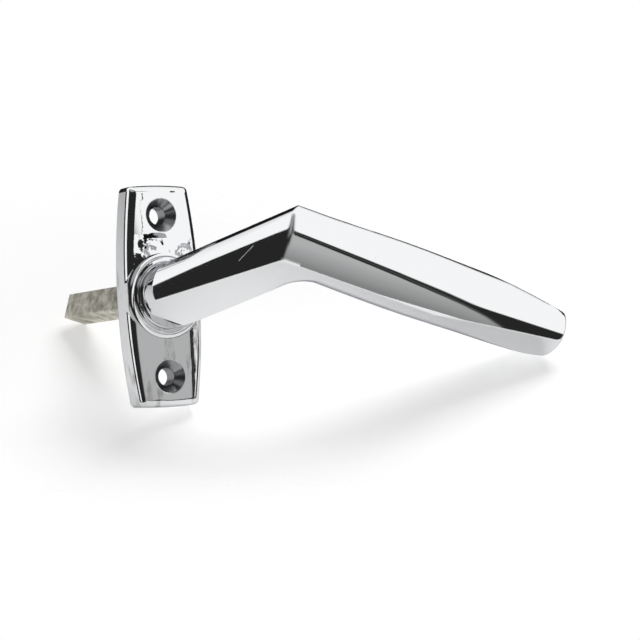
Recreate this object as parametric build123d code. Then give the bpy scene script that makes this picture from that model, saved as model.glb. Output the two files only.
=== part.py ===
from build123d import *
import math
import os

# Window handle: an oblong plate with two countersunk screw holes carries a cranked lever
# that turns a square spindle. Millimetres. The origin is the middle of the plate's back face,
# on the spindle axis; +X is to the right, +Z runs up the plate, and the room side is -Y.

# Plate
plate_height = 59.2
plate_end_height = 58.4
plate_mid_width = 22.6
plate_end_width = 17.8
plate_thickness = 6.1
plate_edge_r = 2.0
plate_corner_r = 1.4

# Raised bearing ring round the lever's foot
hub_base_r = 11.8
hub_top_r = 10.2
hub_cove_r = 1.25
hub_height = 1.35
hub_rim_r = 9.9
hub_lip_r = 9.1
hub_groove_r = 8.75
hub_groove_depth = 0.3

# Countersunk screw holes
screw_spacing = 43.0
screw_hole_d = 4.8
countersink_d = 9.0
countersink_angle = 90.0

# Bearing and the parts that hold the lever behind the plate
journal_d = 13.0
running_clearance = 0.06
foot_gap = 0.1
back_recess_d = 20.0
back_recess_depth = 3.2
washer_thickness = 0.8
washer_d = 18.0
washer_play = 0.05
washer_hole_clearance = 0.15
ring_thickness = 1.0
ring_groove_d = 12.0
ring_d = 17.0
ring_gap_angle = 50.0
ring_side_clearance = 0.05
ring_seat_clearance = 0.02
journal_end_land = 0.9
journal_chamfer = 0.3

# Lever, in its own frame: X along the grip, -Y out from the plate, Z the crank's side
lever_droop = 17.7
collar_foot_r = 8.45
collar_flare = 1.4
bar_r = 8.8
neck_start = 12.5
bend_inner_r = 6.0
grip_straight = 6.0
grip_standoff = 40.5
grip_offset = 16.9
bend_reach = 17.0
grip_end = 101.1
belly_r = 9.3
belly_x = 51.0
taper_r = 8.95
taper_x = 74.0
tip_r = 7.5
tip_round = 1.8
grip_rise = 0.015
tip_fall = -0.2
elbow_inset = 0.02

# Ground faces of the lever: two crowned outer faces that meet in the crease
grip_face_depth = 5.4
grip_face_tip_depth = 7.0
grip_face_crown_r = 20.0
crease_x = 10.9
neck_face_start_x = -9.4
neck_face_start_y = -13.6
neck_face_crown_r = 30.0
land_start_low = 4.0
land_end_low = 8.0
land_stock = 0.3
land_sink = 0.12

# Flat underside: its depth below the lever's centre line at the collar, bend and belly,
# and that of the second flat that follows the taper to the tip
underside_collar = 5.5
underside_bend = 8.48
underside_belly = 8.98
tip_flat_x = 60.0
tip_flat_start = 9.06
tip_flat_end = 6.5

# Rounded relief on the upper side of the tip
relief_x = 72.0
relief_depth = 9.04
relief_slope = 0.065
relief_r = 250.0
relief_corner_r = 2.8
relief_lean = 13.6

# Square spindle and its cross pin
spindle_side = 7.0
spindle_edge_r = 0.35
spindle_end = 45.9
spindle_depth = 16.0
spindle_chamfer = 0.8
spindle_clearance = 0.05
pin_d = 2.5
pin_clearance = 0.02
pin_end_setback = 0.3

# Room allowed round cutting bodies
cut_margin = 30.0
face_half_width = 12.0
face_under = 4.0

front_y = -plate_thickness
hub_y = front_y - hub_height
recess_y = -back_recess_depth
screw_r = screw_hole_d / 2
countersink_r = countersink_d / 2
countersink_depth = (countersink_r - screw_r) / math.tan(math.radians(countersink_angle / 2))
journal_r = journal_d / 2
bearing_r = journal_r + running_clearance
washer_y = recess_y + washer_play
groove_y = washer_y + washer_thickness
groove_width = ring_thickness + 2 * ring_side_clearance
journal_y = groove_y + groove_width + journal_end_land
foot_y = hub_y - foot_gap
pin_y = (hub_y + recess_y) / 2

collar_foot = Vector(0, foot_y, 0)
neck_foot = Vector(0, -neck_start, 0)
bend = Vector(bend_reach, -grip_standoff, grip_offset)
collar_dir = Vector(0, -1, 0)
neck_dir = (bend - neck_foot).normalized()
grip_dir = Vector(1, 0, 0)
up_dir = Vector(0, 0, 1)
below_dir = grip_dir.cross(neck_dir).normalized()
crease = Vector(crease_x, bend.Y - grip_face_depth, bend.Z)
grip_face_end = Vector(grip_end, bend.Y - grip_face_tip_depth, bend.Z)
neck_face_start = Vector(neck_face_start_x, neck_face_start_y, 0)
grip_outward = up_dir.cross(crease - grip_face_end).normalized()
neck_outward = (crease - neck_face_start).cross(up_dir).normalized()


def disc(radius, y_from, y_to):
    """A round solid about the spindle axis between two depths."""
    return Plane((0, y_from, 0), x_dir=(1, 0, 0), z_dir=(0, 1, 0)) * Cylinder(
        radius, y_to - y_from, align=(Align.CENTER, Align.CENTER, Align.MIN)
    )


def square_bar(side, edge_r, y_from, y_to):
    """A square solid about the spindle axis between two depths."""
    outline = RectangleRounded(side, side, edge_r) if edge_r > 0 else Rectangle(side, side)
    return extrude(Plane((0, y_from, 0), x_dir=(1, 0, 0), z_dir=(0, 1, 0)) * outline, y_to - y_from)


def plate_outline():
    """Barrel-sided oblong with slightly bowed ends, facing the room."""
    top = plate_height / 2
    shoulder = plate_end_height / 2
    half_end = plate_end_width / 2
    half_mid = plate_mid_width / 2
    right = ThreePointArc((half_end, -shoulder), (half_mid, 0), (half_end, shoulder))
    upper = ThreePointArc((half_end, shoulder), (0, top), (-half_end, shoulder))
    left = ThreePointArc((-half_end, shoulder), (-half_mid, 0), (-half_end, -shoulder))
    lower = ThreePointArc((-half_end, -shoulder), (0, -top), (half_end, -shoulder))
    face = make_face([right, upper, left, lower])
    return Plane.XZ * fillet(face.vertices(), plate_corner_r)


def hub_ring():
    """The raised ring with its cove, turned about the spindle axis."""
    cove_start = (hub_base_r, front_y)
    cove_end = (hub_top_r, front_y - hub_cove_r)
    cove_mid = (
        hub_base_r - (hub_base_r - hub_top_r) * math.sin(math.radians(45)),
        front_y - hub_cove_r * (1 - math.cos(math.radians(45))),
    )
    profile = make_face(
        [
            Line((0, recess_y), (hub_base_r, recess_y)),
            Line((hub_base_r, recess_y), cove_start),
            ThreePointArc(cove_start, cove_mid, cove_end),
            Line(cove_end, (hub_rim_r, hub_y)),
            Line((hub_rim_r, hub_y), (hub_lip_r, hub_y)),
            Line((hub_lip_r, hub_y), (hub_groove_r, hub_y + hub_groove_depth)),
            Line((hub_groove_r, hub_y + hub_groove_depth), (collar_foot_r, hub_y)),
            Line((collar_foot_r, hub_y), (0, hub_y)),
            Line((0, hub_y), (0, recess_y)),
        ]
    )
    return revolve(profile, Axis.Y)


def make_plate():
    """Plate with rounded front edges, hub ring, bearing bore, screw holes and back recess."""
    slab = extrude(plate_outline(), plate_thickness)
    front_edges = slab.faces().sort_by(Axis.Y)[0].edges()
    slab = fillet(front_edges, plate_edge_r)
    outline_prism = extrude(plate_outline(), plate_thickness + 2 * hub_height)
    body = slab + (hub_ring() & outline_prism)
    body -= disc(bearing_r, hub_y - hub_height, 0)
    body -= disc(back_recess_d / 2, recess_y, hub_height)
    for side in (-1, 1):
        place = Pos(0, 0, side * screw_spacing / 2)
        body -= place * disc(screw_r, front_y - hub_height, hub_height)
        sink = Plane((0, front_y, 0), x_dir=(1, 0, 0), z_dir=(0, 1, 0)) * Cone(
            countersink_r, screw_r, countersink_depth, align=(Align.CENTER, Align.CENTER, Align.MIN)
        )
        body -= place * sink
    return body


def mitre(corner, incoming, outgoing):
    """The plane that halves a corner, facing along the outgoing run."""
    return Plane(corner, z_dir=(incoming + outgoing).normalized())


neck_mitre = mitre(neck_foot, collar_dir, neck_dir)
bend_mitre = mitre(bend, neck_dir, grip_dir)


def collar_run():
    """The collar: a round foot on the spindle axis that flares to the neck's round."""
    bottom = (Align.CENTER, Align.CENTER, Align.MIN)
    flare = Plane(collar_foot, z_dir=collar_dir) * Cone(collar_foot_r, bar_r, collar_flare, align=bottom)
    flare_end = collar_foot + collar_dir * collar_flare
    bar = Plane(flare_end, z_dir=collar_dir) * Cylinder(bar_r, neck_start + bar_r, align=bottom)
    return split(flare + bar, neck_mitre, keep=Keep.BOTTOM)


def land_section(along, low):
    """Section of the land that carries the neck's outer face past its round on the low side."""
    place = neck_foot + neck_dir * along
    outward = (neck_outward - neck_dir * neck_outward.dot(neck_dir)).normalized()
    height = (neck_face_start - place).dot(neck_outward) / outward.dot(neck_outward) + land_stock
    inner_r = bar_r - land_sink
    angle = math.atan2(low, height) + math.acos(inner_r / math.hypot(height, low))
    touch = (inner_r * math.cos(angle), inner_r * math.sin(angle))
    outline = make_face(Polyline((0, 0), (height, 0), (height, low), touch, close=True))
    return Plane(place, x_dir=outward, z_dir=neck_dir) * outline


def neck_run():
    """The neck from the collar to the bend: a round bar with its land, mitred at both ends."""
    length = (bend - neck_foot).length
    low_slope = (land_end_low - land_start_low) / length
    ends = (-bar_r, length + bar_r)
    land = loft([land_section(at, land_start_low + low_slope * at) for at in ends], ruled=True)
    bar = Plane(neck_foot + neck_dir * ends[0], z_dir=neck_dir) * Cylinder(
        bar_r, ends[1] - ends[0], align=(Align.CENTER, Align.CENTER, Align.MIN)
    )
    neck = split(bar + land, neck_mitre, keep=Keep.TOP)
    return split(neck, bend_mitre, keep=Keep.BOTTOM)


def underside():
    """The flat ground along the lower side of the collar, neck, bend and grip."""
    at_collar = neck_foot + below_dir * underside_collar
    at_bend = bend + below_dir * underside_bend
    at_belly = Vector(belly_x, bend.Y, bend.Z) + below_dir * underside_belly
    facing = (at_bend - at_collar).cross(at_belly - at_bend).normalized()
    return Plane(at_bend, z_dir=facing * math.copysign(1, facing.dot(below_dir)))


def tip_flat():
    """The flat that carries the underside on along the taper to the tip."""
    start = Vector(tip_flat_x, bend.Y, bend.Z) + below_dir * tip_flat_start
    end = Vector(grip_end, bend.Y, bend.Z) + below_dir * tip_flat_end
    across = grip_dir.cross(below_dir)
    facing = across.cross(end - start).normalized()
    return Plane(start, z_dir=facing * math.copysign(1, facing.dot(below_dir)))


def relief_height(along):
    """Height of the tip's upper outline above the grip's axis, at a distance from where it starts."""
    return relief_depth - relief_slope * along - along**2 / (2 * relief_r)


def tip_relief():
    """What is rounded away from the upper side of the tip: a long arc and its end corner."""
    reach = grip_end - relief_x
    corner_x = reach - relief_corner_r
    corner_z = relief_height(corner_x) - relief_corner_r
    half = relief_corner_r * math.sin(math.radians(45))
    outline = make_face(
        [
            ThreePointArc(
                (0, relief_height(0)),
                (corner_x / 2, relief_height(corner_x / 2)),
                (corner_x, relief_height(corner_x)),
            ),
            ThreePointArc(
                (corner_x, relief_height(corner_x)), (corner_x + half, corner_z + half), (reach, corner_z)
            ),
            Line((reach, corner_z), (reach + cut_margin, corner_z)),
            Line((reach + cut_margin, corner_z), (reach + cut_margin, cut_margin)),
            Line((reach + cut_margin, cut_margin), (0, cut_margin)),
            Line((0, cut_margin), (0, relief_height(0))),
        ]
    )
    lean = math.radians(relief_lean)
    rise = Vector(0, -math.sin(lean), math.cos(lean))
    start = Vector(relief_x, bend.Y, bend.Z)
    frame = Plane(start, x_dir=grip_dir, z_dir=grip_dir.cross(rise))
    return extrude(frame * outline, cut_margin, both=True)


def elbow(corner, incoming, outgoing, radius, inner_r):
    """A round bend that fills the inside of a mitred corner."""
    turn = math.acos(incoming.dot(outgoing))
    sweep_r = radius + inner_r
    start = corner - incoming * (sweep_r * math.tan(turn / 2))
    inward = (outgoing - incoming * outgoing.dot(incoming)).normalized()
    axis = Axis(start + inward * sweep_r, incoming.cross(outgoing))
    return revolve(Plane(start, z_dir=incoming) * Circle(radius), axis, math.degrees(turn))


def grip_run():
    """The grip turned about its own axis: a long belly that tapers to a rounded tip."""
    back_x = bend_reach - 2 * bar_r
    straight_x = bend_reach + grip_straight
    shoulder = (grip_end - tip_round, tip_r)
    side = Spline(
        [(straight_x, bar_r), (belly_x, belly_r), (taper_x, taper_r), shoulder],
        tangents=[(1, grip_rise), (1, tip_fall)],
    )
    tip_mid = (
        grip_end - tip_round * (1 - math.cos(math.radians(45))),
        tip_r - tip_round * (1 - math.sin(math.radians(45))),
    )
    profile = make_face(
        [
            Line((back_x, 0), (back_x, bar_r)),
            Line((back_x, bar_r), (straight_x, bar_r)),
            side,
            ThreePointArc(shoulder, tip_mid, (grip_end, tip_r - tip_round)),
            Line((grip_end, tip_r - tip_round), (grip_end, 0)),
            Line((grip_end, 0), (back_x, 0)),
        ]
    )
    grip = Pos(0, bend.Y, bend.Z) * revolve(profile, Axis.X)
    return split(grip, bend_mitre, keep=Keep.TOP)


def face_cutter(start, end, outward, crown_r):
    """What is ground away in front of a crowned face whose crown runs from start to end."""
    along = (end - start).normalized()
    frame = Plane((start + end) / 2, x_dir=along, z_dir=outward)
    length = (end - start).length + 2 * cut_margin
    block = Pos(0, 0, -face_under) * Box(
        length, 2 * face_half_width, cut_margin, align=(Align.CENTER, Align.CENTER, Align.MIN)
    )
    crown = Pos(0, 0, -crown_r) * Rot(0, 90, 0) * Cylinder(crown_r, 2 * length)
    return frame * (block - crown)


def journal():
    """The lever's foot that turns in the plate, with the groove for the retaining ring."""
    pin = chamfer(disc(journal_r, foot_y, journal_y).edges().sort_by(Axis.Y)[-1:], journal_chamfer)
    groove = disc(journal_d, groove_y, groove_y + groove_width)
    return pin - (groove - disc(ring_groove_d / 2, groove_y, groove_y + groove_width))


def cross_hole(radius, half_length):
    """A round solid across the spindle axis at the pin's depth."""
    return Pos(0, pin_y, 0) * Rot(0, 90, 0) * Cylinder(radius, 2 * half_length)


def make_lever():
    """The lever, ground to its crowned faces, with its journal, socket and pin hole."""
    arm = neck_run() + grip_run() + elbow(bend, neck_dir, grip_dir, bar_r - elbow_inset, bend_inner_r)
    lever = split(arm + collar_run(), underside(), keep=Keep.BOTTOM)
    lever = split(lever, tip_flat(), keep=Keep.BOTTOM) - tip_relief()
    lever -= face_cutter(crease, grip_face_end, grip_outward, grip_face_crown_r)
    lever -= face_cutter(neck_face_start, crease, neck_outward, neck_face_crown_r)
    lever += journal()
    lever -= square_bar(spindle_side + 2 * spindle_clearance, 0, -spindle_depth, journal_end_land)
    lever -= cross_hole(pin_d / 2 + pin_clearance, journal_d)
    return lever


def make_spindle():
    """The square bar with eased edges and a chamfered end, drilled for its cross pin."""
    inner_y = spindle_clearance - spindle_depth
    sharp = square_bar(spindle_side, 0, inner_y, spindle_end)
    sharp = chamfer(sharp.faces().sort_by(Axis.Y)[-1].edges(), spindle_chamfer)
    bar = sharp & square_bar(spindle_side, spindle_edge_r, inner_y, spindle_end)
    return bar - cross_hole(pin_d / 2 + pin_clearance, journal_d)


def make_pin():
    """The cross pin, a little shorter than the journal is wide."""
    return cross_hole(pin_d / 2, journal_r - pin_end_setback)


def make_washer():
    """The plain washer between the plate and the retaining ring."""
    outside = disc(washer_d / 2, washer_y, washer_y + washer_thickness)
    hole_r = journal_r + washer_hole_clearance
    return outside - disc(hole_r, recess_y, 0)


def make_ring():
    """The open ring that sits in the journal's groove."""
    seat_r = ring_groove_d / 2 + ring_seat_clearance
    ring_y = groove_y + ring_side_clearance
    ring = disc(ring_d / 2, ring_y, ring_y + ring_thickness) - disc(seat_r, ring_y, ring_y + ring_thickness)
    half_gap = math.radians(ring_gap_angle / 2)
    reach = ring_d
    gap = make_face(
        Polyline(
            (0, 0),
            (reach * math.cos(half_gap), reach * math.sin(half_gap)),
            (reach * math.cos(half_gap), -reach * math.sin(half_gap)),
            close=True,
        )
    )
    return ring - extrude(Plane.XZ * gap, back_recess_depth)


if __name__ == "__main__":
    os.makedirs("parts", exist_ok=True)
    turned = Rot(0, lever_droop, 0)
    nodes = {
        "plate": make_plate(),
        "lever": turned * make_lever(),
        "spindle": turned * make_spindle(),
        "spindle_pin": turned * make_pin(),
        "thrust_washer": turned * make_washer(),
        "retaining_ring": turned * make_ring(),
    }
    for name, solid in nodes.items():
        export_step(solid, f"parts/{name}.step")
        print(name, round(solid.volume, 1), solid.is_valid, len(solid.solids()))
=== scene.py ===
# %% [markdown]
# A window handle in bright chrome: an oblong plate that screws to the sash, a cranked lever that
# turns on it, and a square steel spindle that reaches through into the lock behind.
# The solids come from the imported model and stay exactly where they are. This lesson gives them
# their metals, lays them on a white table and lights them as a small studio would.

# %% Load the solids
import math

import bpy
from mathutils import Matrix, Vector


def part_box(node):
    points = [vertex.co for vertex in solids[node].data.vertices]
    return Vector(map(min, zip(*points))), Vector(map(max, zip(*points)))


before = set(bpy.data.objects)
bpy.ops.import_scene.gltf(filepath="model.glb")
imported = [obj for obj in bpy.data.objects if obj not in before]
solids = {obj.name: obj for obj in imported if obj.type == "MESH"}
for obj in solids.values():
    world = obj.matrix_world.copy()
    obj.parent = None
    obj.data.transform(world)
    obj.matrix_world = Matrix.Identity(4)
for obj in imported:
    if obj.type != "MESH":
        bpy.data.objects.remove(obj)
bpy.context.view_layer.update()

MM = 0.001
for name in solids:
    low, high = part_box(name)
    print(name, "size mm", [round((b - a) / MM, 1) for a, b in zip(low, high)])

# %% [markdown]
# Colours are picked as sRGB hex values, the way a paint card gives them, and a shader wants them
# linear. Nodes are added one at a time with their settings and links, so that each material below
# reads from the pattern to the finished surface. A Mix node blends numbers on its sockets 2 and 3,
# colours on 6 and 7, and gives the blended colour on its output 2.

# %% Helpers for colours, nodes and materials
def linear(hex_colour):
    channels = [int(hex_colour[i:i + 2], 16) / 255 for i in (1, 3, 5)]
    return tuple(c / 12.92 if c <= 0.04045 else ((c + 0.055) / 1.055) ** 2.4 for c in channels) + (1.0,)


def add_node(tree, kind, inputs=None, **settings):
    made = tree.nodes.new(kind)
    for name, value in settings.items():
        setattr(made, name, value)
    for socket, value in (inputs or {}).items():
        if isinstance(value, bpy.types.NodeSocket):
            tree.links.new(value, made.inputs[socket])
        else:
            made.inputs[socket].default_value = value
    return made


def new_material(name):
    made = bpy.data.materials.new(name)
    made.use_nodes = True
    made.node_tree.nodes.clear()
    return made, made.node_tree


def coat(name, material):
    solids[name].data.materials.clear()
    solids[name].data.materials.append(material)
    print(material.name, "on", name, "with", len(material.node_tree.nodes), "nodes")


# Chrome mirrors nearly all light with a faint cool cast, and is darker where the eye grazes it.
CHROME = linear("#f4f5f6")
CHROME_EDGE = linear("#9a9aa0")
print("chrome, linear", [round(c, 3) for c in CHROME])

# %% [markdown]
# The lever is a zinc casting, ground to its long faces on a belt, polished and plated with nickel
# and bright chrome. Polishing rounds every ridge, most of all the crease between neck and grip and
# the grip's top edges. A Bevel node rounds them for the light alone and leaves the solid as it is,
# and its radius grows where the crease and the top edges are.

# %% Lever: bright chrome and its ridges
RIDGE_R_MM = 0.35
CREASE_NORMAL = (0.901, -0.433, 0.012)
CREASE_PLACE_MM = 33.6
CREASE_HALF_MM = 2.5
CREASE_R_MM = 1.6
GRIP_TOP_NORMAL = (0.304, 0.0, 0.953)
GRIP_TOP_MM = 22.0
GRIP_TOP_R_MM = 1.4
RIDGE_SAMPLES = 8

chrome, tree = new_material("lever_bright_chrome_on_belt_ground_zinc")
place = add_node(tree, "ShaderNodeTexCoord").outputs["Object"]
across = add_node(tree, "ShaderNodeVectorMath", {0: place, 1: CREASE_NORMAL}, operation="DOT_PRODUCT")
crease = add_node(tree, "ShaderNodeMath", {
    0: across.outputs["Value"], 1: CREASE_PLACE_MM * MM, 2: CREASE_HALF_MM * MM}, operation="COMPARE")
upward = add_node(tree, "ShaderNodeVectorMath", {0: place, 1: GRIP_TOP_NORMAL}, operation="DOT_PRODUCT")
top_edge = add_node(tree, "ShaderNodeMath", {
    0: upward.outputs["Value"], 1: GRIP_TOP_MM * MM}, operation="GREATER_THAN")
ridge_r = add_node(tree, "ShaderNodeMapRange", {
    "Value": crease.outputs[0], "To Min": RIDGE_R_MM * MM, "To Max": CREASE_R_MM * MM})
ridge_r = add_node(tree, "ShaderNodeMix", {
    0: top_edge.outputs[0], 2: ridge_r.outputs[0], 3: GRIP_TOP_R_MM * MM})
ridge = add_node(tree, "ShaderNodeBevel", {"Radius": ridge_r.outputs[0]}, samples=RIDGE_SAMPLES)
print("ridge radii mm: plain", RIDGE_R_MM, "crease", CREASE_R_MM, "grip top", GRIP_TOP_R_MM)

# %% [markdown]
# In the photograph the neck's underside mirrors the bare table even next to the plate, as if it
# leaned a few degrees further out there. Dressing by hand, where a belt can't reach, would do that.
# It is a guess, and the lean is matched. It is worked out in the lever's own frame, so it goes
# with the lever when it turns.

# %% Lever: the dressed end of the underside
UNDERSIDE_NORMAL = (-0.286, -0.444, -0.849)
UNDERSIDE_COSINES = (0.94, 0.99)
DRESSED_MM = (-30.0, -14.0)
FOOT_MM = -10.5
DRESSED_LEAN = (0.05, -0.13, 0.065)

own = add_node(tree, "ShaderNodeVectorTransform", {0: ridge.outputs["Normal"]},
               vector_type="NORMAL", convert_from="WORLD", convert_to="OBJECT").outputs[0]
likeness = add_node(tree, "ShaderNodeVectorMath", {0: own, 1: UNDERSIDE_NORMAL}, operation="DOT_PRODUCT")
beneath = add_node(tree, "ShaderNodeMapRange", {
    "Value": likeness.outputs["Value"], "From Min": UNDERSIDE_COSINES[0],
    "From Max": UNDERSIDE_COSINES[1]}, interpolation_type="SMOOTHSTEP")
reach = add_node(tree, "ShaderNodeSeparateXYZ", {0: place}).outputs["Y"]
near = add_node(tree, "ShaderNodeMapRange", {
    "Value": reach, "From Min": DRESSED_MM[0] * MM,
    "From Max": DRESSED_MM[1] * MM}, interpolation_type="SMOOTHSTEP")
clear_of_foot = add_node(tree, "ShaderNodeMath", {0: reach, 1: FOOT_MM * MM}, operation="LESS_THAN")
dressed = beneath.outputs[0]
for share in (near, clear_of_foot):
    dressed = add_node(tree, "ShaderNodeMath", {
        0: dressed, 1: share.outputs[0]}, operation="MULTIPLY").outputs[0]
lean = add_node(tree, "ShaderNodeVectorMath", {0: DRESSED_LEAN, "Scale": dressed}, operation="SCALE")
leant = add_node(tree, "ShaderNodeVectorMath", {0: own, 1: lean.outputs[0]}, operation="ADD")
faced = add_node(tree, "ShaderNodeVectorTransform", {0: leant.outputs[0]},
                 vector_type="NORMAL", convert_from="OBJECT", convert_to="WORLD").outputs[0]
print("lean of the dressed end, degrees", round(math.degrees(Vector(DRESSED_LEAN).length), 1))

# %% [markdown]
# A handle that has been handled: a few pits the size of dust where the plating didn't cover, and
# one hair-thin scratch across the neck. Both scatter light, so they show pale in the dark
# reflections and vanish in the white ones. They are drawn as rough spots and not cut into the solid.

# %% Lever: pits and the scratch
PIT_SPACING_MM = 3.0
PIT_R_MM = 0.09
SCRATCH_FROM_MM = Vector((6.3, -34.5, 6.6))
SCRATCH_TO_MM = Vector((9.0, -37.6, 10.4))
SCRATCH_HALF_MM = 0.07
NECK_FACE_NORMAL = Vector((-0.805, -0.55, 0.2))

cell = add_node(tree, "ShaderNodeTexVoronoi", {"Vector": place, "Scale": 1 / (PIT_SPACING_MM * MM)})
pit = add_node(tree, "ShaderNodeMath", {
    0: cell.outputs["Distance"], 1: PIT_R_MM / PIT_SPACING_MM}, operation="LESS_THAN")
scratch_way = (SCRATCH_TO_MM - SCRATCH_FROM_MM).normalized()
scratch_side = scratch_way.cross(NECK_FACE_NORMAL).normalized()
scratch_mid = (SCRATCH_FROM_MM + SCRATCH_TO_MM) / 2
scratch_half = (SCRATCH_TO_MM - SCRATCH_FROM_MM).length / 2
lengthwise, sideways = [
    add_node(tree, "ShaderNodeVectorMath", {0: place, 1: way}, operation="DOT_PRODUCT").outputs["Value"]
    for way in (scratch_way, scratch_side)]
in_length = add_node(tree, "ShaderNodeMath", {
    0: lengthwise, 1: scratch_mid.dot(scratch_way) * MM, 2: scratch_half * MM}, operation="COMPARE")
in_width = add_node(tree, "ShaderNodeMath", {
    0: sideways, 1: scratch_mid.dot(scratch_side) * MM, 2: SCRATCH_HALF_MM * MM}, operation="COMPARE")
scratch = add_node(tree, "ShaderNodeMath", {
    0: in_length.outputs[0], 1: in_width.outputs[0]}, operation="MULTIPLY")
marks = add_node(tree, "ShaderNodeMath", {0: pit.outputs[0], 1: scratch.outputs[0]}, operation="MAXIMUM")
print("scratch is", round(scratch_half * 2, 1), "mm long, pits are", PIT_R_MM * 2, "mm wide at most")

# %% [markdown]
# Polishing leaves the faces uneven by a few thousandths of a millimetre, enough to bend a straight
# reflection a little. That wave is what tells a polished casting from a sheet of glass.

# %% Lever: the finish
POLISH_WAVE_MM = 9.0
POLISH_DEPTH_MM = 0.003
CHROME_ROUGHNESS = 0.02
MARK_ROUGHNESS = 0.6

rough = add_node(tree, "ShaderNodeMapRange", {
    "Value": marks.outputs[0], "To Min": CHROME_ROUGHNESS, "To Max": MARK_ROUGHNESS})
wave = add_node(tree, "ShaderNodeTexNoise", {
    "Vector": place, "Scale": 1 / (POLISH_WAVE_MM * MM), "Detail": 1.0})
ripple = add_node(tree, "ShaderNodeBump", {
    "Height": wave.outputs["Fac"], "Strength": 1.0, "Distance": POLISH_DEPTH_MM * MM, "Normal": faced})
shine = add_node(tree, "ShaderNodeBsdfPrincipled", {
    "Base Color": CHROME, "Metallic": 1.0, "Roughness": rough.outputs["Result"],
    "Specular Tint": CHROME_EDGE, "Normal": ripple.outputs["Normal"]})
add_node(tree, "ShaderNodeOutputMaterial", {"Surface": shine.outputs["BSDF"]})
coat("lever", chrome)

# %% [markdown]
# The plate looks cast and plated like the lever, but its upper face mirrors the bright side of the
# studio in ragged patches, while the lower half stays an even grey. A face buffed by hand round the
# screw hole, uneven and leaning a degree or two, would give that. It is a guess, and the leans of the
# normal are matched, with one noise for the size of the buffing marks.

# %% Plate: the buffed face
BUFF_MM = 6.0
BUFF_LEAN = 0.040
BUFF_UNEVEN = 0.075
BUFFED_MM = (3.0, 9.0)
STRIP_RAGGED_MM = 5.0
STRIP_EDGE_MM = (-3.6, -2.8)
LOWER_LEAN = -0.021
LOWER_UNEVEN = 0.3
EDGE_LEAN = 0.036
EDGE_MM = (5.0, 8.0)

plate_chrome, tree = new_material("plate_bright_chrome_hand_buffed")
place = add_node(tree, "ShaderNodeTexCoord").outputs["Object"]
axes = add_node(tree, "ShaderNodeSeparateXYZ", {0: place})
patch = add_node(tree, "ShaderNodeTexNoise", {
    "Vector": place, "Scale": 1 / (BUFF_MM * MM), "Detail": 6.0, "Roughness": 0.62, "Distortion": 0.5})
upper = add_node(tree, "ShaderNodeMapRange", {
    "Value": axes.outputs["Z"], "From Min": BUFFED_MM[0] * MM,
    "From Max": BUFFED_MM[1] * MM}, interpolation_type="SMOOTHSTEP")
ragged = add_node(tree, "ShaderNodeMath", {
    0: patch.outputs["Fac"], 1: STRIP_RAGGED_MM * MM, 2: axes.outputs["X"]}, operation="MULTIPLY_ADD")
inner = add_node(tree, "ShaderNodeMapRange", {
    "Value": ragged.outputs[0], "From Min": STRIP_EDGE_MM[0] * MM,
    "From Max": STRIP_EDGE_MM[1] * MM}, interpolation_type="SMOOTHSTEP")
outer = add_node(tree, "ShaderNodeMapRange", {
    "Value": axes.outputs["X"], "From Min": EDGE_MM[0] * MM, "From Max": EDGE_MM[1] * MM,
    "To Min": LOWER_LEAN, "To Max": LOWER_LEAN + EDGE_LEAN}, interpolation_type="SMOOTHSTEP")
swing = add_node(tree, "ShaderNodeMapRange", {
    "Value": patch.outputs["Fac"], "To Min": -BUFF_UNEVEN / 2, "To Max": BUFF_UNEVEN / 2})
buffed = add_node(tree, "ShaderNodeMath", {0: swing.outputs[0], 1: BUFF_LEAN}, operation="ADD")
buffed = add_node(tree, "ShaderNodeMath", {0: buffed.outputs[0], 1: inner.outputs[0]}, operation="MULTIPLY")
lower_lean = add_node(tree, "ShaderNodeMath", {
    0: swing.outputs[0], 1: LOWER_UNEVEN, 2: outer.outputs[0]}, operation="MULTIPLY_ADD")
tilt = add_node(tree, "ShaderNodeMix", {
    0: upper.outputs[0], 2: lower_lean.outputs[0], 3: buffed.outputs[0]})
print("buffed face leans up to", round(math.degrees(BUFF_LEAN + BUFF_UNEVEN / 2), 1), "degrees")

# %% [markdown]
# Along the left edge and just above the hub the reflection turns dark, as if the wheel had run off
# the face there. This is matched too: the normal tips upward, and mirrors the dark beside the
# tent, in a strip with a ragged side and in blots. The lean holds on the flat front alone, so the
# rounded rim and the ring keep their own reflections.

# %% Plate: the strip and the blots that tip upward
EDGE_RISE = 0.2
FRONT_COSINES = (0.98, 0.998)
BLOT_BAND_MM = (15.5, 13.5)
BLOT_NOISE = (0.48, 0.53)
JAG_BAND_MM = (16.5, 13.5)
JAG_LEAN = 0.35

ridge = add_node(tree, "ShaderNodeBevel", {"Radius": RIDGE_R_MM * MM}, samples=RIDGE_SAMPLES)
facing = add_node(tree, "ShaderNodeVectorMath", {
    0: ridge.outputs["Normal"], 1: (0, -1, 0)}, operation="DOT_PRODUCT")
front = add_node(tree, "ShaderNodeMapRange", {
    "Value": facing.outputs["Value"], "From Min": FRONT_COSINES[0], "From Max": FRONT_COSINES[1]})
tilt = add_node(tree, "ShaderNodeMath", {0: tilt.outputs[0], 1: front.outputs[0]}, operation="MULTIPLY")
band = add_node(tree, "ShaderNodeMapRange", {
    "Value": axes.outputs["Z"], "From Min": BLOT_BAND_MM[0] * MM, "From Max": BLOT_BAND_MM[1] * MM})
blot = add_node(tree, "ShaderNodeSeparateColor", {0: patch.outputs["Color"]})
blot = add_node(tree, "ShaderNodeMapRange", {
    "Value": blot.outputs["Green"], "From Min": BLOT_NOISE[0], "From Max": BLOT_NOISE[1]})
blot = add_node(tree, "ShaderNodeMath", {0: blot.outputs[0], 1: band.outputs[0]}, operation="MULTIPLY")
tipped = add_node(tree, "ShaderNodeMath", {0: 1.0, 1: inner.outputs[0]}, operation="SUBTRACT")
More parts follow.
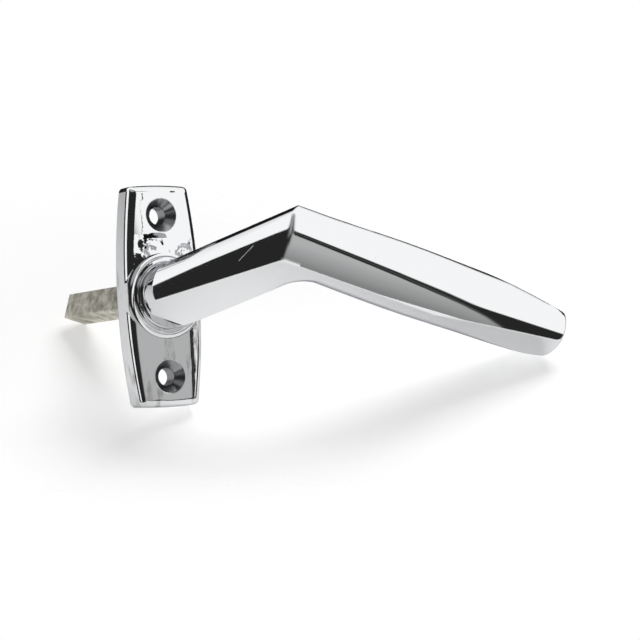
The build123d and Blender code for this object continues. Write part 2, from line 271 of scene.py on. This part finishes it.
tipped = add_node(tree, "ShaderNodeMath", {0: tipped.outputs[0], 1: blot.outputs[0]}, operation="MAXIMUM")
for share in (upper.outputs[0], front.outputs[0], EDGE_RISE):
    tipped = add_node(tree, "ShaderNodeMath", {0: tipped.outputs[0], 1: share}, operation="MULTIPLY")
lean = add_node(tree, "ShaderNodeCombineXYZ", {"X": tilt.outputs[0], "Z": tipped.outputs[0]})
jag_share = add_node(tree, "ShaderNodeMapRange", {
    "Value": axes.outputs["Z"], "From Min": JAG_BAND_MM[0] * MM,
    "From Max": JAG_BAND_MM[1] * MM, "To Max": JAG_LEAN})
for share in (upper, front):
    jag_share = add_node(tree, "ShaderNodeMath", {
        0: jag_share.outputs[0], 1: share.outputs[0]}, operation="MULTIPLY")
jag = add_node(tree, "ShaderNodeVectorMath", {
    0: patch.outputs["Color"], 1: (0.5, 0.5, 0.5)}, operation="SUBTRACT")
jag = add_node(tree, "ShaderNodeVectorMath", {
    0: jag.outputs[0], "Scale": jag_share.outputs[0]}, operation="SCALE")
faced = ridge.outputs["Normal"]
for turn in (lean, jag):
    faced = add_node(tree, "ShaderNodeVectorMath", {0: faced, 1: turn.outputs[0]}, operation="ADD").outputs[0]
faced = add_node(tree, "ShaderNodeVectorMath", {0: faced}, operation="NORMALIZE").outputs[0]
print("strip and blots tip up by", round(math.degrees(EDGE_RISE), 1), "degrees")

# %% [markdown]
# The screw holes are drilled and countersunk after casting. The tool's rings are too fine to show
# and are drawn as plain roughness. The plating reaches in thinly, so the cones are duller; their
# darker colour is painted shade for the recess. Below the hub the face has faint upright smears,
# drawn as a thin film.

# %% Plate: the countersinks and the finish
SCREW_SPACING_MM = 43.0
COUNTERSINK_R_MM = 4.45
CONE_ROUGHNESS = 0.25
# Painted shade: the countersinks and their bores take this darker colour for the recess.
CONE_PAINTED_SHADE = linear("#a4a5a7")
SMEAR_MM = 4.0
SMEAR_STRETCH = (1.0, 1.0, 0.3)
FILM_NOISE = (0.5, 0.75)
FILM_TONE = linear("#a8a7a2")

fold = add_node(tree, "ShaderNodeMath", {0: axes.outputs["Z"]}, operation="ABSOLUTE")
from_hole = add_node(tree, "ShaderNodeCombineXYZ", {"X": axes.outputs["X"], "Z": fold.outputs[0]})
radius = add_node(tree, "ShaderNodeVectorMath", {
    0: from_hole.outputs[0], 1: (0, 0, SCREW_SPACING_MM / 2 * MM)}, operation="DISTANCE")
cone = add_node(tree, "ShaderNodeMath", {
    0: radius.outputs["Value"], 1: COUNTERSINK_R_MM * MM}, operation="LESS_THAN")
cone_rough = add_node(tree, "ShaderNodeMapRange", {
    "Value": cone.outputs[0], "To Min": CHROME_ROUGHNESS, "To Max": CONE_ROUGHNESS})
drawn_out = add_node(tree, "ShaderNodeMapping", {"Vector": place, "Scale": SMEAR_STRETCH})
smear = add_node(tree, "ShaderNodeTexNoise", {
    "Vector": drawn_out.outputs[0], "Scale": 1 / (SMEAR_MM * MM), "Detail": 4.0, "Roughness": 0.6})
film = add_node(tree, "ShaderNodeMapRange", {
    "Value": smear.outputs["Fac"], "From Min": FILM_NOISE[0],
    "From Max": FILM_NOISE[1]}, interpolation_type="SMOOTHSTEP")
bare = add_node(tree, "ShaderNodeMath", {0: 1.0, 1: upper.outputs[0]}, operation="SUBTRACT")
film = add_node(tree, "ShaderNodeMath", {0: film.outputs[0], 1: bare.outputs[0]}, operation="MULTIPLY")
tone = add_node(tree, "ShaderNodeMix", {
    "Factor": film.outputs[0], 6: CHROME, 7: FILM_TONE}, data_type="RGBA")
# Painted shade: inside the countersinks the darker colour stands in for shade in the recess.
tone = add_node(tree, "ShaderNodeMix", {
    "Factor": cone.outputs[0], 6: tone.outputs[2], 7: CONE_PAINTED_SHADE}, data_type="RGBA")
wave = add_node(tree, "ShaderNodeTexNoise", {
    "Vector": place, "Scale": 1 / (POLISH_WAVE_MM * MM), "Detail": 1.0})
ripple = add_node(tree, "ShaderNodeBump", {
    "Height": wave.outputs["Fac"], "Strength": 1.0, "Distance": POLISH_DEPTH_MM * MM, "Normal": faced})
shine = add_node(tree, "ShaderNodeBsdfPrincipled", {
    "Base Color": tone.outputs[2], "Metallic": 1.0, "Roughness": cone_rough.outputs["Result"],
    "Specular Tint": CHROME_EDGE, "Normal": ripple.outputs["Normal"]})
add_node(tree, "ShaderNodeOutputMaterial", {"Surface": shine.outputs["BSDF"]})
coat("plate", plate_chrome)

# %% [markdown]
# The spindle is square bar, cold drawn through a die and left with its thin dull zinc coat. Drawing
# leaves lines along the bar, and the coat is stained in clouds, such as damp behind a sash would leave.
# To the eye it is a soft grey with a warm mottle, and it mirrors nothing clearly.

# %% Spindle: drawn square bar
DRAW_LINE_MM = 0.35    # real lines are a few hundredths wide, drawn coarser so that they show
DRAW_STRETCH = (1.0, 0.03, 1.0)
DRAW_DEPTH_MM = 0.02
STAIN_MM = 3.5
STAIN_STOPS = ((0.32, "#857f6b"), (0.62, "#e6e4d8"))
STAIN_ROUGHNESS = (0.55, 0.3)
WORN_EDGE_R_MM = 0.5

steel, tree = new_material("spindle_drawn_steel_stained_zinc")
place = add_node(tree, "ShaderNodeTexCoord").outputs["Object"]
along = add_node(tree, "ShaderNodeMapping", {"Vector": place, "Scale": DRAW_STRETCH})
lines = add_node(tree, "ShaderNodeTexNoise", {
    "Vector": along.outputs[0], "Scale": 1 / (DRAW_LINE_MM * MM), "Detail": 2.0})
cloud = add_node(tree, "ShaderNodeTexNoise", {
    "Vector": place, "Scale": 1 / (STAIN_MM * MM), "Detail": 5.0, "Roughness": 0.7, "Distortion": 0.3})
stain = add_node(tree, "ShaderNodeValToRGB", {"Fac": cloud.outputs["Fac"]})
for stop, (position, tone) in zip(stain.color_ramp.elements, STAIN_STOPS):
    stop.position = position
    stop.color = linear(tone)
dull = add_node(tree, "ShaderNodeMapRange", {
    "Value": cloud.outputs["Fac"], "To Min": STAIN_ROUGHNESS[0], "To Max": STAIN_ROUGHNESS[1]})
worn_edge = add_node(tree, "ShaderNodeBevel", {"Radius": WORN_EDGE_R_MM * MM}, samples=RIDGE_SAMPLES)
grain = add_node(tree, "ShaderNodeBump", {
    "Height": lines.outputs["Fac"], "Strength": 0.6, "Distance": DRAW_DEPTH_MM * MM,
    "Normal": worn_edge.outputs["Normal"]})
shine = add_node(tree, "ShaderNodeBsdfPrincipled", {
    "Base Color": stain.outputs["Color"], "Metallic": 1.0, "Roughness": dull.outputs["Result"],
    "Normal": grain.outputs["Normal"]})
add_node(tree, "ShaderNodeOutputMaterial", {"Surface": shine.outputs["BSDF"]})
coat("spindle", steel)

# %% [markdown]
# Three small steel pieces hold the lever behind the plate. The pin is ground round, the washer is
# blanked from strip and tumbled, and the ring is spring steel blackened against rust. None of them
# shows from the room side, so these are the usual finishes of such pieces and not observed ones.

# %% Pin, washer and ring
# Piece, finish, its two tones, roughness and grain size in mm, coarser than real so that it shows.
HIDDEN_STEELS = (
    # Ground: bright, with fine marks.
    ("spindle_pin", "pin_ground_steel", "#b4b6b8", "#8e9092", 0.25, 0.2),
    # Tumbled: soft and evenly dulled.
    ("thrust_washer", "washer_tumbled_strip_steel", "#a9aaa8", "#7d7e7c", 0.38, 0.6),
    # Blackened: dark, with worn spots.
    ("retaining_ring", "ring_blackened_spring_steel", "#3b3a38", "#5a554e", 0.45, 0.9),
)
GRAIN_DEPTH_MM = 0.01

for name, finish, tone, worn, roughness, grain_mm in HIDDEN_STEELS:
    metal, tree = new_material(finish)
    place = add_node(tree, "ShaderNodeTexCoord").outputs["Object"]
    speck = add_node(tree, "ShaderNodeTexNoise", {
        "Vector": place, "Scale": 1 / (grain_mm * MM), "Detail": 3.0})
    tones = add_node(tree, "ShaderNodeMix", {
        "Factor": speck.outputs["Fac"], 6: linear(tone), 7: linear(worn)}, data_type="RGBA")
    grain = add_node(tree, "ShaderNodeBump", {
        "Height": speck.outputs["Fac"], "Strength": 0.4, "Distance": GRAIN_DEPTH_MM * MM})
    shine = add_node(tree, "ShaderNodeBsdfPrincipled", {
        "Base Color": tones.outputs[2], "Metallic": 1.0, "Roughness": roughness,
        "Normal": grain.outputs["Normal"]})
    add_node(tree, "ShaderNodeOutputMaterial", {"Surface": shine.outputs["BSDF"]})
    coat(name, metal)

# %% [markdown]
# The handle lies on a white table. It rests on the end of the spindle, on the plate's lower edge and
# under the tip of the grip, so the table is a plane through those three points. Three directions in
# that plane serve the light as well: up from the table, away from the camera and to the right.

# %% Table
TABLE_TOUCHES_MM = ((98.77, -36.2, -19.95), (8.21, 0.0, -29.2), (2.2, 45.2, -4.27))
TABLE_HALF_MM = 500
VIEW_AWAY = Vector((0.536, 0.843, 0.044))

touch = [Vector(p) * MM for p in TABLE_TOUCHES_MM]
middle = (touch[0] + touch[1] + touch[2]) / 3
table_up = (touch[1] - touch[0]).cross(touch[2] - touch[0]).normalized()
if table_up.z < 0:
    table_up.negate()
away = (VIEW_AWAY - table_up * VIEW_AWAY.dot(table_up)).normalized()
right = away.cross(table_up)
half = TABLE_HALF_MM * MM
corners = [middle + right * a * half + away * b * half for a, b in ((-1, -1), (1, -1), (1, 1), (-1, 1))]
table_mesh = bpy.data.meshes.new("white_table")
table_mesh.from_pydata(corners, [], [(0, 1, 2, 3)])
table = bpy.data.objects.new("white_table", table_mesh)
bpy.context.scene.collection.objects.link(table)
lean_deg = math.degrees(table_up.angle(Vector((0, 0, 1))))
print("table leans", round(lean_deg, 1), "degrees from the plate's up")

# %% [markdown]
# On the table lies a round sheet of matt paper, cut off straight behind the handle. The chrome
# mirrors it as a pale ground with an end. It has no underside, so nothing hides the handle from below.
# For the camera alone it fades out in front of the shadows, because a lever turned fully down goes
# past the table and should still show.

# %% Paper: where the sheet ends
PAPER_MIDDLE_MM = Vector((-60, 80, -5))
PAPER_RIM_MM = (375, 395)
PAPER_BACK_MM = (90, 120)
PAPER_BACK_SKEW = 0.5
PAPER_FRONT_MM = (-28, -62)

paper, tree = new_material("matt_white_paper")
spot = add_node(tree, "ShaderNodeTexCoord").outputs["Object"]
from_middle = add_node(tree, "ShaderNodeVectorMath", {
    0: spot, 1: PAPER_MIDDLE_MM * MM}, operation="DISTANCE").outputs["Value"]
behind, ahead = [
    add_node(tree, "ShaderNodeVectorMath", {0: spot, 1: way}, operation="DOT_PRODUCT").outputs["Value"]
    for way in (away + right * PAPER_BACK_SKEW, away)]
endings = ((from_middle, PAPER_RIM_MM), (behind, PAPER_BACK_MM), (ahead, PAPER_FRONT_MM))
rim, back_edge, front_edge = [
    add_node(tree, "ShaderNodeMapRange", {"Value": value, "From Min": start * MM, "From Max": end * MM},
             interpolation_type="SMOOTHSTEP").outputs[0]
    for value, (start, end) in endings]
seen = add_node(tree, "ShaderNodeLightPath").outputs["Is Camera Ray"]
front_edge = add_node(tree, "ShaderNodeMath", {0: front_edge, 1: seen}, operation="MULTIPLY").outputs[0]
underside = add_node(tree, "ShaderNodeNewGeometry").outputs["Backfacing"]
off = rim
for ending in (back_edge, front_edge, underside):
    off = add_node(tree, "ShaderNodeMath", {0: off, 1: ending}, operation="MAXIMUM").outputs[0]
print("paper is", PAPER_RIM_MM[1] * 2, "mm across before its back is cut off")

# %% [markdown]
# Matt paper scatters light evenly and is cloudy by a few hundredths. The camera sees a pure white
# sheet that keeps the shadows: it is lifted a little further out, where the lamps fall off.

# %% Paper: the finish
CLOUD_MM = 20.0
PAPER_TONES = (0.82, 0.88)
HANDLE_MIDDLE_MM = Vector((30, 0, -15))
LIFT_MM = (50, 150)
LIFT = (0.02, 0.15)

cloud = add_node(tree, "ShaderNodeTexNoise", {"Vector": spot, "Scale": 1 / (CLOUD_MM * MM), "Detail": 4.0})
tone = add_node(tree, "ShaderNodeMapRange", {
    "Value": cloud.outputs["Fac"], "To Min": PAPER_TONES[0], "To Max": PAPER_TONES[1]})
white = add_node(tree, "ShaderNodeMath", {0: tone.outputs[0], 1: seen}, operation="MAXIMUM")
reach = add_node(tree, "ShaderNodeVectorMath", {0: spot, 1: HANDLE_MIDDLE_MM * MM}, operation="DISTANCE")
lift = add_node(tree, "ShaderNodeMapRange", {
    "Value": reach.outputs["Value"], "From Min": LIFT_MM[0] * MM, "From Max": LIFT_MM[1] * MM,
    "To Min": LIFT[0], "To Max": LIFT[1]})
lift = add_node(tree, "ShaderNodeMath", {0: lift.outputs[0], 1: seen}, operation="MULTIPLY")
matt = add_node(tree, "ShaderNodeBsdfDiffuse", {"Color": white.outputs[0]})
bright = add_node(tree, "ShaderNodeEmission", {"Strength": lift.outputs[0]})
sheet = add_node(tree, "ShaderNodeAddShader", {0: matt.outputs[0], 1: bright.outputs[0]})
clear = add_node(tree, "ShaderNodeBsdfTransparent")
cut = add_node(tree, "ShaderNodeMixShader", {0: off, 1: sheet.outputs[0], 2: clear.outputs[0]})
add_node(tree, "ShaderNodeOutputMaterial", {"Surface": cut.outputs[0]})
table_mesh.materials.append(paper)
print(paper.name, "with", len(tree.nodes), "nodes")

# %% [markdown]
# A mirror shows only its surroundings, so polished metal is lit by building the room round it.
# Directions are measured in the table's frame, as a height above the table and a bearing from
# straight behind. The edges of tent and card lean as they would on a frame, so each is a bearing
# that shifts with height. The tent's hem is gathered up at one place.

# %% Room: directions
TENT_LEFT_SLOPE = -1.94
TENT_RIGHT_SLOPE = 0.77
CARD_SLOPE = 0.675
GATHER_BEARING_DEG = 25
GATHER_REACH_DEG = (45, 15)
GATHER_RISE_DEG = 10
rad = math.radians

world = bpy.data.worlds.new("studio")
bpy.context.scene.world = world
world.use_nodes = True
tree = world.node_tree
tree.nodes.clear()
look = add_node(tree, "ShaderNodeTexCoord").outputs["Generated"]
rise, depth, across = [
    add_node(tree, "ShaderNodeVectorMath", {0: look, 1: axis}, operation="DOT_PRODUCT").outputs["Value"]
    for axis in (table_up, away, right)]
height = add_node(tree, "ShaderNodeMath", {0: rise}, operation="ARCSINE").outputs[0]
bearing = add_node(tree, "ShaderNodeMath", {0: across, 1: depth}, operation="ARCTAN2").outputs[0]
left_lean, right_lean, card_lean = [
    add_node(tree, "ShaderNodeMath", {0: height, 1: slope, 2: bearing}, operation="MULTIPLY_ADD").outputs[0]
    for slope in (TENT_LEFT_SLOPE, TENT_RIGHT_SLOPE, CARD_SLOPE)]
aside = add_node(tree, "ShaderNodeMath", {
    0: bearing, 1: rad(GATHER_BEARING_DEG)}, operation="SUBTRACT").outputs[0]
aside = add_node(tree, "ShaderNodeMath", {0: aside}, operation="ABSOLUTE").outputs[0]
gather = add_node(tree, "ShaderNodeMapRange", {
    "Value": aside, "From Min": rad(GATHER_REACH_DEG[0]), "From Max": rad(GATHER_REACH_DEG[1]),
    "To Max": rad(GATHER_RISE_DEG)}, interpolation_type="SMOOTHSTEP").outputs[0]
hem = add_node(tree, "ShaderNodeMath", {0: height, 1: gather}, operation="SUBTRACT").outputs[0]
print("directions in", len(tree.nodes), "nodes")

# %% [markdown]
# A white tent stands behind and above, a grey card closes the right side, and a thin pale seam runs
# beside the tent in the dark. Each is a product of soft edges, and the brightest wins. The edges are
# set so that the bands fall on the handle where the photograph has them. Only the mirrors see this
# room: the camera gets plain white and matt surfaces a faint even glow.

# %% Room: tent, card and seam
DARK = 0.02
SEAM = 0.07
CEILING = 0.35
CARD_HEIGHT_DEG = (-6, 14)
CARD_TONES = (0.24, 0.46)
# Each edge is a direction with the degrees at which it starts and has become full.
EDGES_DEG = (
    (left_lean, -182.7, -182.3), (right_lean, 123.95, 123.35), (hem, 10.5, 11.5), (height, 50, 60),
    (card_lean, 124.1, 124.5), (bearing, 165, 140), (height, 30, 24),
    (right_lean, 124.5, 124.7), (right_lean, 125.1, 124.9))

left_edge, right_edge, low_edge, overhead, card_start, card_end, card_top, seam_start, seam_end = [
    add_node(tree, "ShaderNodeMapRange", {"Value": value, "From Min": rad(start), "From Max": rad(end)},
             interpolation_type="SMOOTHSTEP").outputs["Result"]
    for value, start, end in EDGES_DEG]
card_tone = add_node(tree, "ShaderNodeMapRange", {
    "Value": height, "From Min": rad(CARD_HEIGHT_DEG[0]), "From Max": rad(CARD_HEIGHT_DEG[1]),
    "To Min": CARD_TONES[0], "To Max": CARD_TONES[1]}).outputs["Result"]
tent = (left_edge, right_edge, low_edge)
card = (card_start, card_end, card_top, card_tone)
seam = (seam_start, seam_end, SEAM)
room = DARK
for surface in ((overhead, CEILING), tent, card, seam):
    level = surface[0]
    for factor in surface[1:]:
        level = add_node(tree, "ShaderNodeMath", {0: level, 1: factor}, operation="MULTIPLY").outputs[0]
    room = add_node(tree, "ShaderNodeMath", {0: room, 1: level}, operation="MAXIMUM").outputs[0]
print("room in", len(tree.nodes), "nodes")

# %% [markdown]
# Matt light is a separate matter. A large soft key stands behind to the right and throws the long
# shadow; a fill behind the camera lifts the dark side and throws none. Together with the faint glow
# they add up to one, so a matt colour comes out about as written.

# %% Glow, key and fill
GLOW = 0.16
# Each lamp: bearing and height in degrees, distance and size in metres, and its share of the light.
KEY = ((26, 46), 0.9, 0.55, 0.36)
FILL = ((180, 32.3), 0.95, 0.3, 0.48)

ray = add_node(tree, "ShaderNodeLightPath")
lighting = add_node(tree, "ShaderNodeMix", {0: ray.outputs["Is Glossy Ray"], 2: GLOW, 3: room}).outputs[0]
strength = add_node(tree, "ShaderNodeMath", {
    0: lighting, 1: ray.outputs["Is Camera Ray"]}, operation="MAXIMUM")
glow = add_node(tree, "ShaderNodeBackground", {"Color": (1, 1, 1, 1), "Strength": strength.outputs[0]})
add_node(tree, "ShaderNodeOutputWorld", {"Surface": glow.outputs[0]})
for name, ((lamp_bearing, lamp_height), lamp_distance, lamp_size, share) in (("key", KEY), ("fill", FILL)):
    flat = away * math.cos(rad(lamp_bearing)) + right * math.sin(rad(lamp_bearing))
    toward = flat * math.cos(rad(lamp_height)) + table_up * math.sin(rad(lamp_height))
    lamp_data = bpy.data.lights.new(name, "AREA")
    lamp_data.shape = "DISK"
    lamp_data.size = lamp_size
    lamp_data.energy = share * math.pi ** 2 * lamp_distance ** 2 / math.sin(rad(lamp_height))
    lamp_data.use_shadow = name == "key"
    lamp = bpy.data.objects.new(name, lamp_data)
    bpy.context.scene.collection.objects.link(lamp)
    lamp.location = middle + toward * lamp_distance
    lamp.rotation_mode = "QUATERNION"
    lamp.rotation_quaternion = toward.to_track_quat("Z", "Y")
    lamp.visible_glossy = False
    print(name, "watts", round(lamp_data.energy, 2))

# %% [markdown]
# A long lens from about three quarters of a metre keeps the handle's lines nearly parallel, as a
# catalogue photograph does. The camera is rolled a little, because the handle doesn't lie square.

# %% Camera
EYE_MM = Vector((-343.99, -622.78, -39.82))
AIM_MM = Vector((49.20, -4.41, -7.715))
ROLL_DEG = -3.40
LENS_MM = 149.31
SENSOR_MM = 36
CLIP_M = (0.01, 20)

cam_data = bpy.data.cameras.new("camera")
cam_data.sensor_width = SENSOR_MM
cam_data.lens = LENS_MM
cam_data.clip_start, cam_data.clip_end = CLIP_M
cam = bpy.data.objects.new("camera", cam_data)
bpy.context.scene.collection.objects.link(cam)
sight = (AIM_MM - EYE_MM).normalized()
turn = sight.to_track_quat("-Z", "Y").to_matrix() @ Matrix.Rotation(rad(ROLL_DEG), 3, "Z")
cam.matrix_world = Matrix.Translation(EYE_MM * MM) @ turn.to_4x4()
bpy.context.scene.camera = cam
bpy.context.scene.view_settings.view_transform = "Standard"
print("camera stands", round((AIM_MM - EYE_MM).length), "mm from the handle")
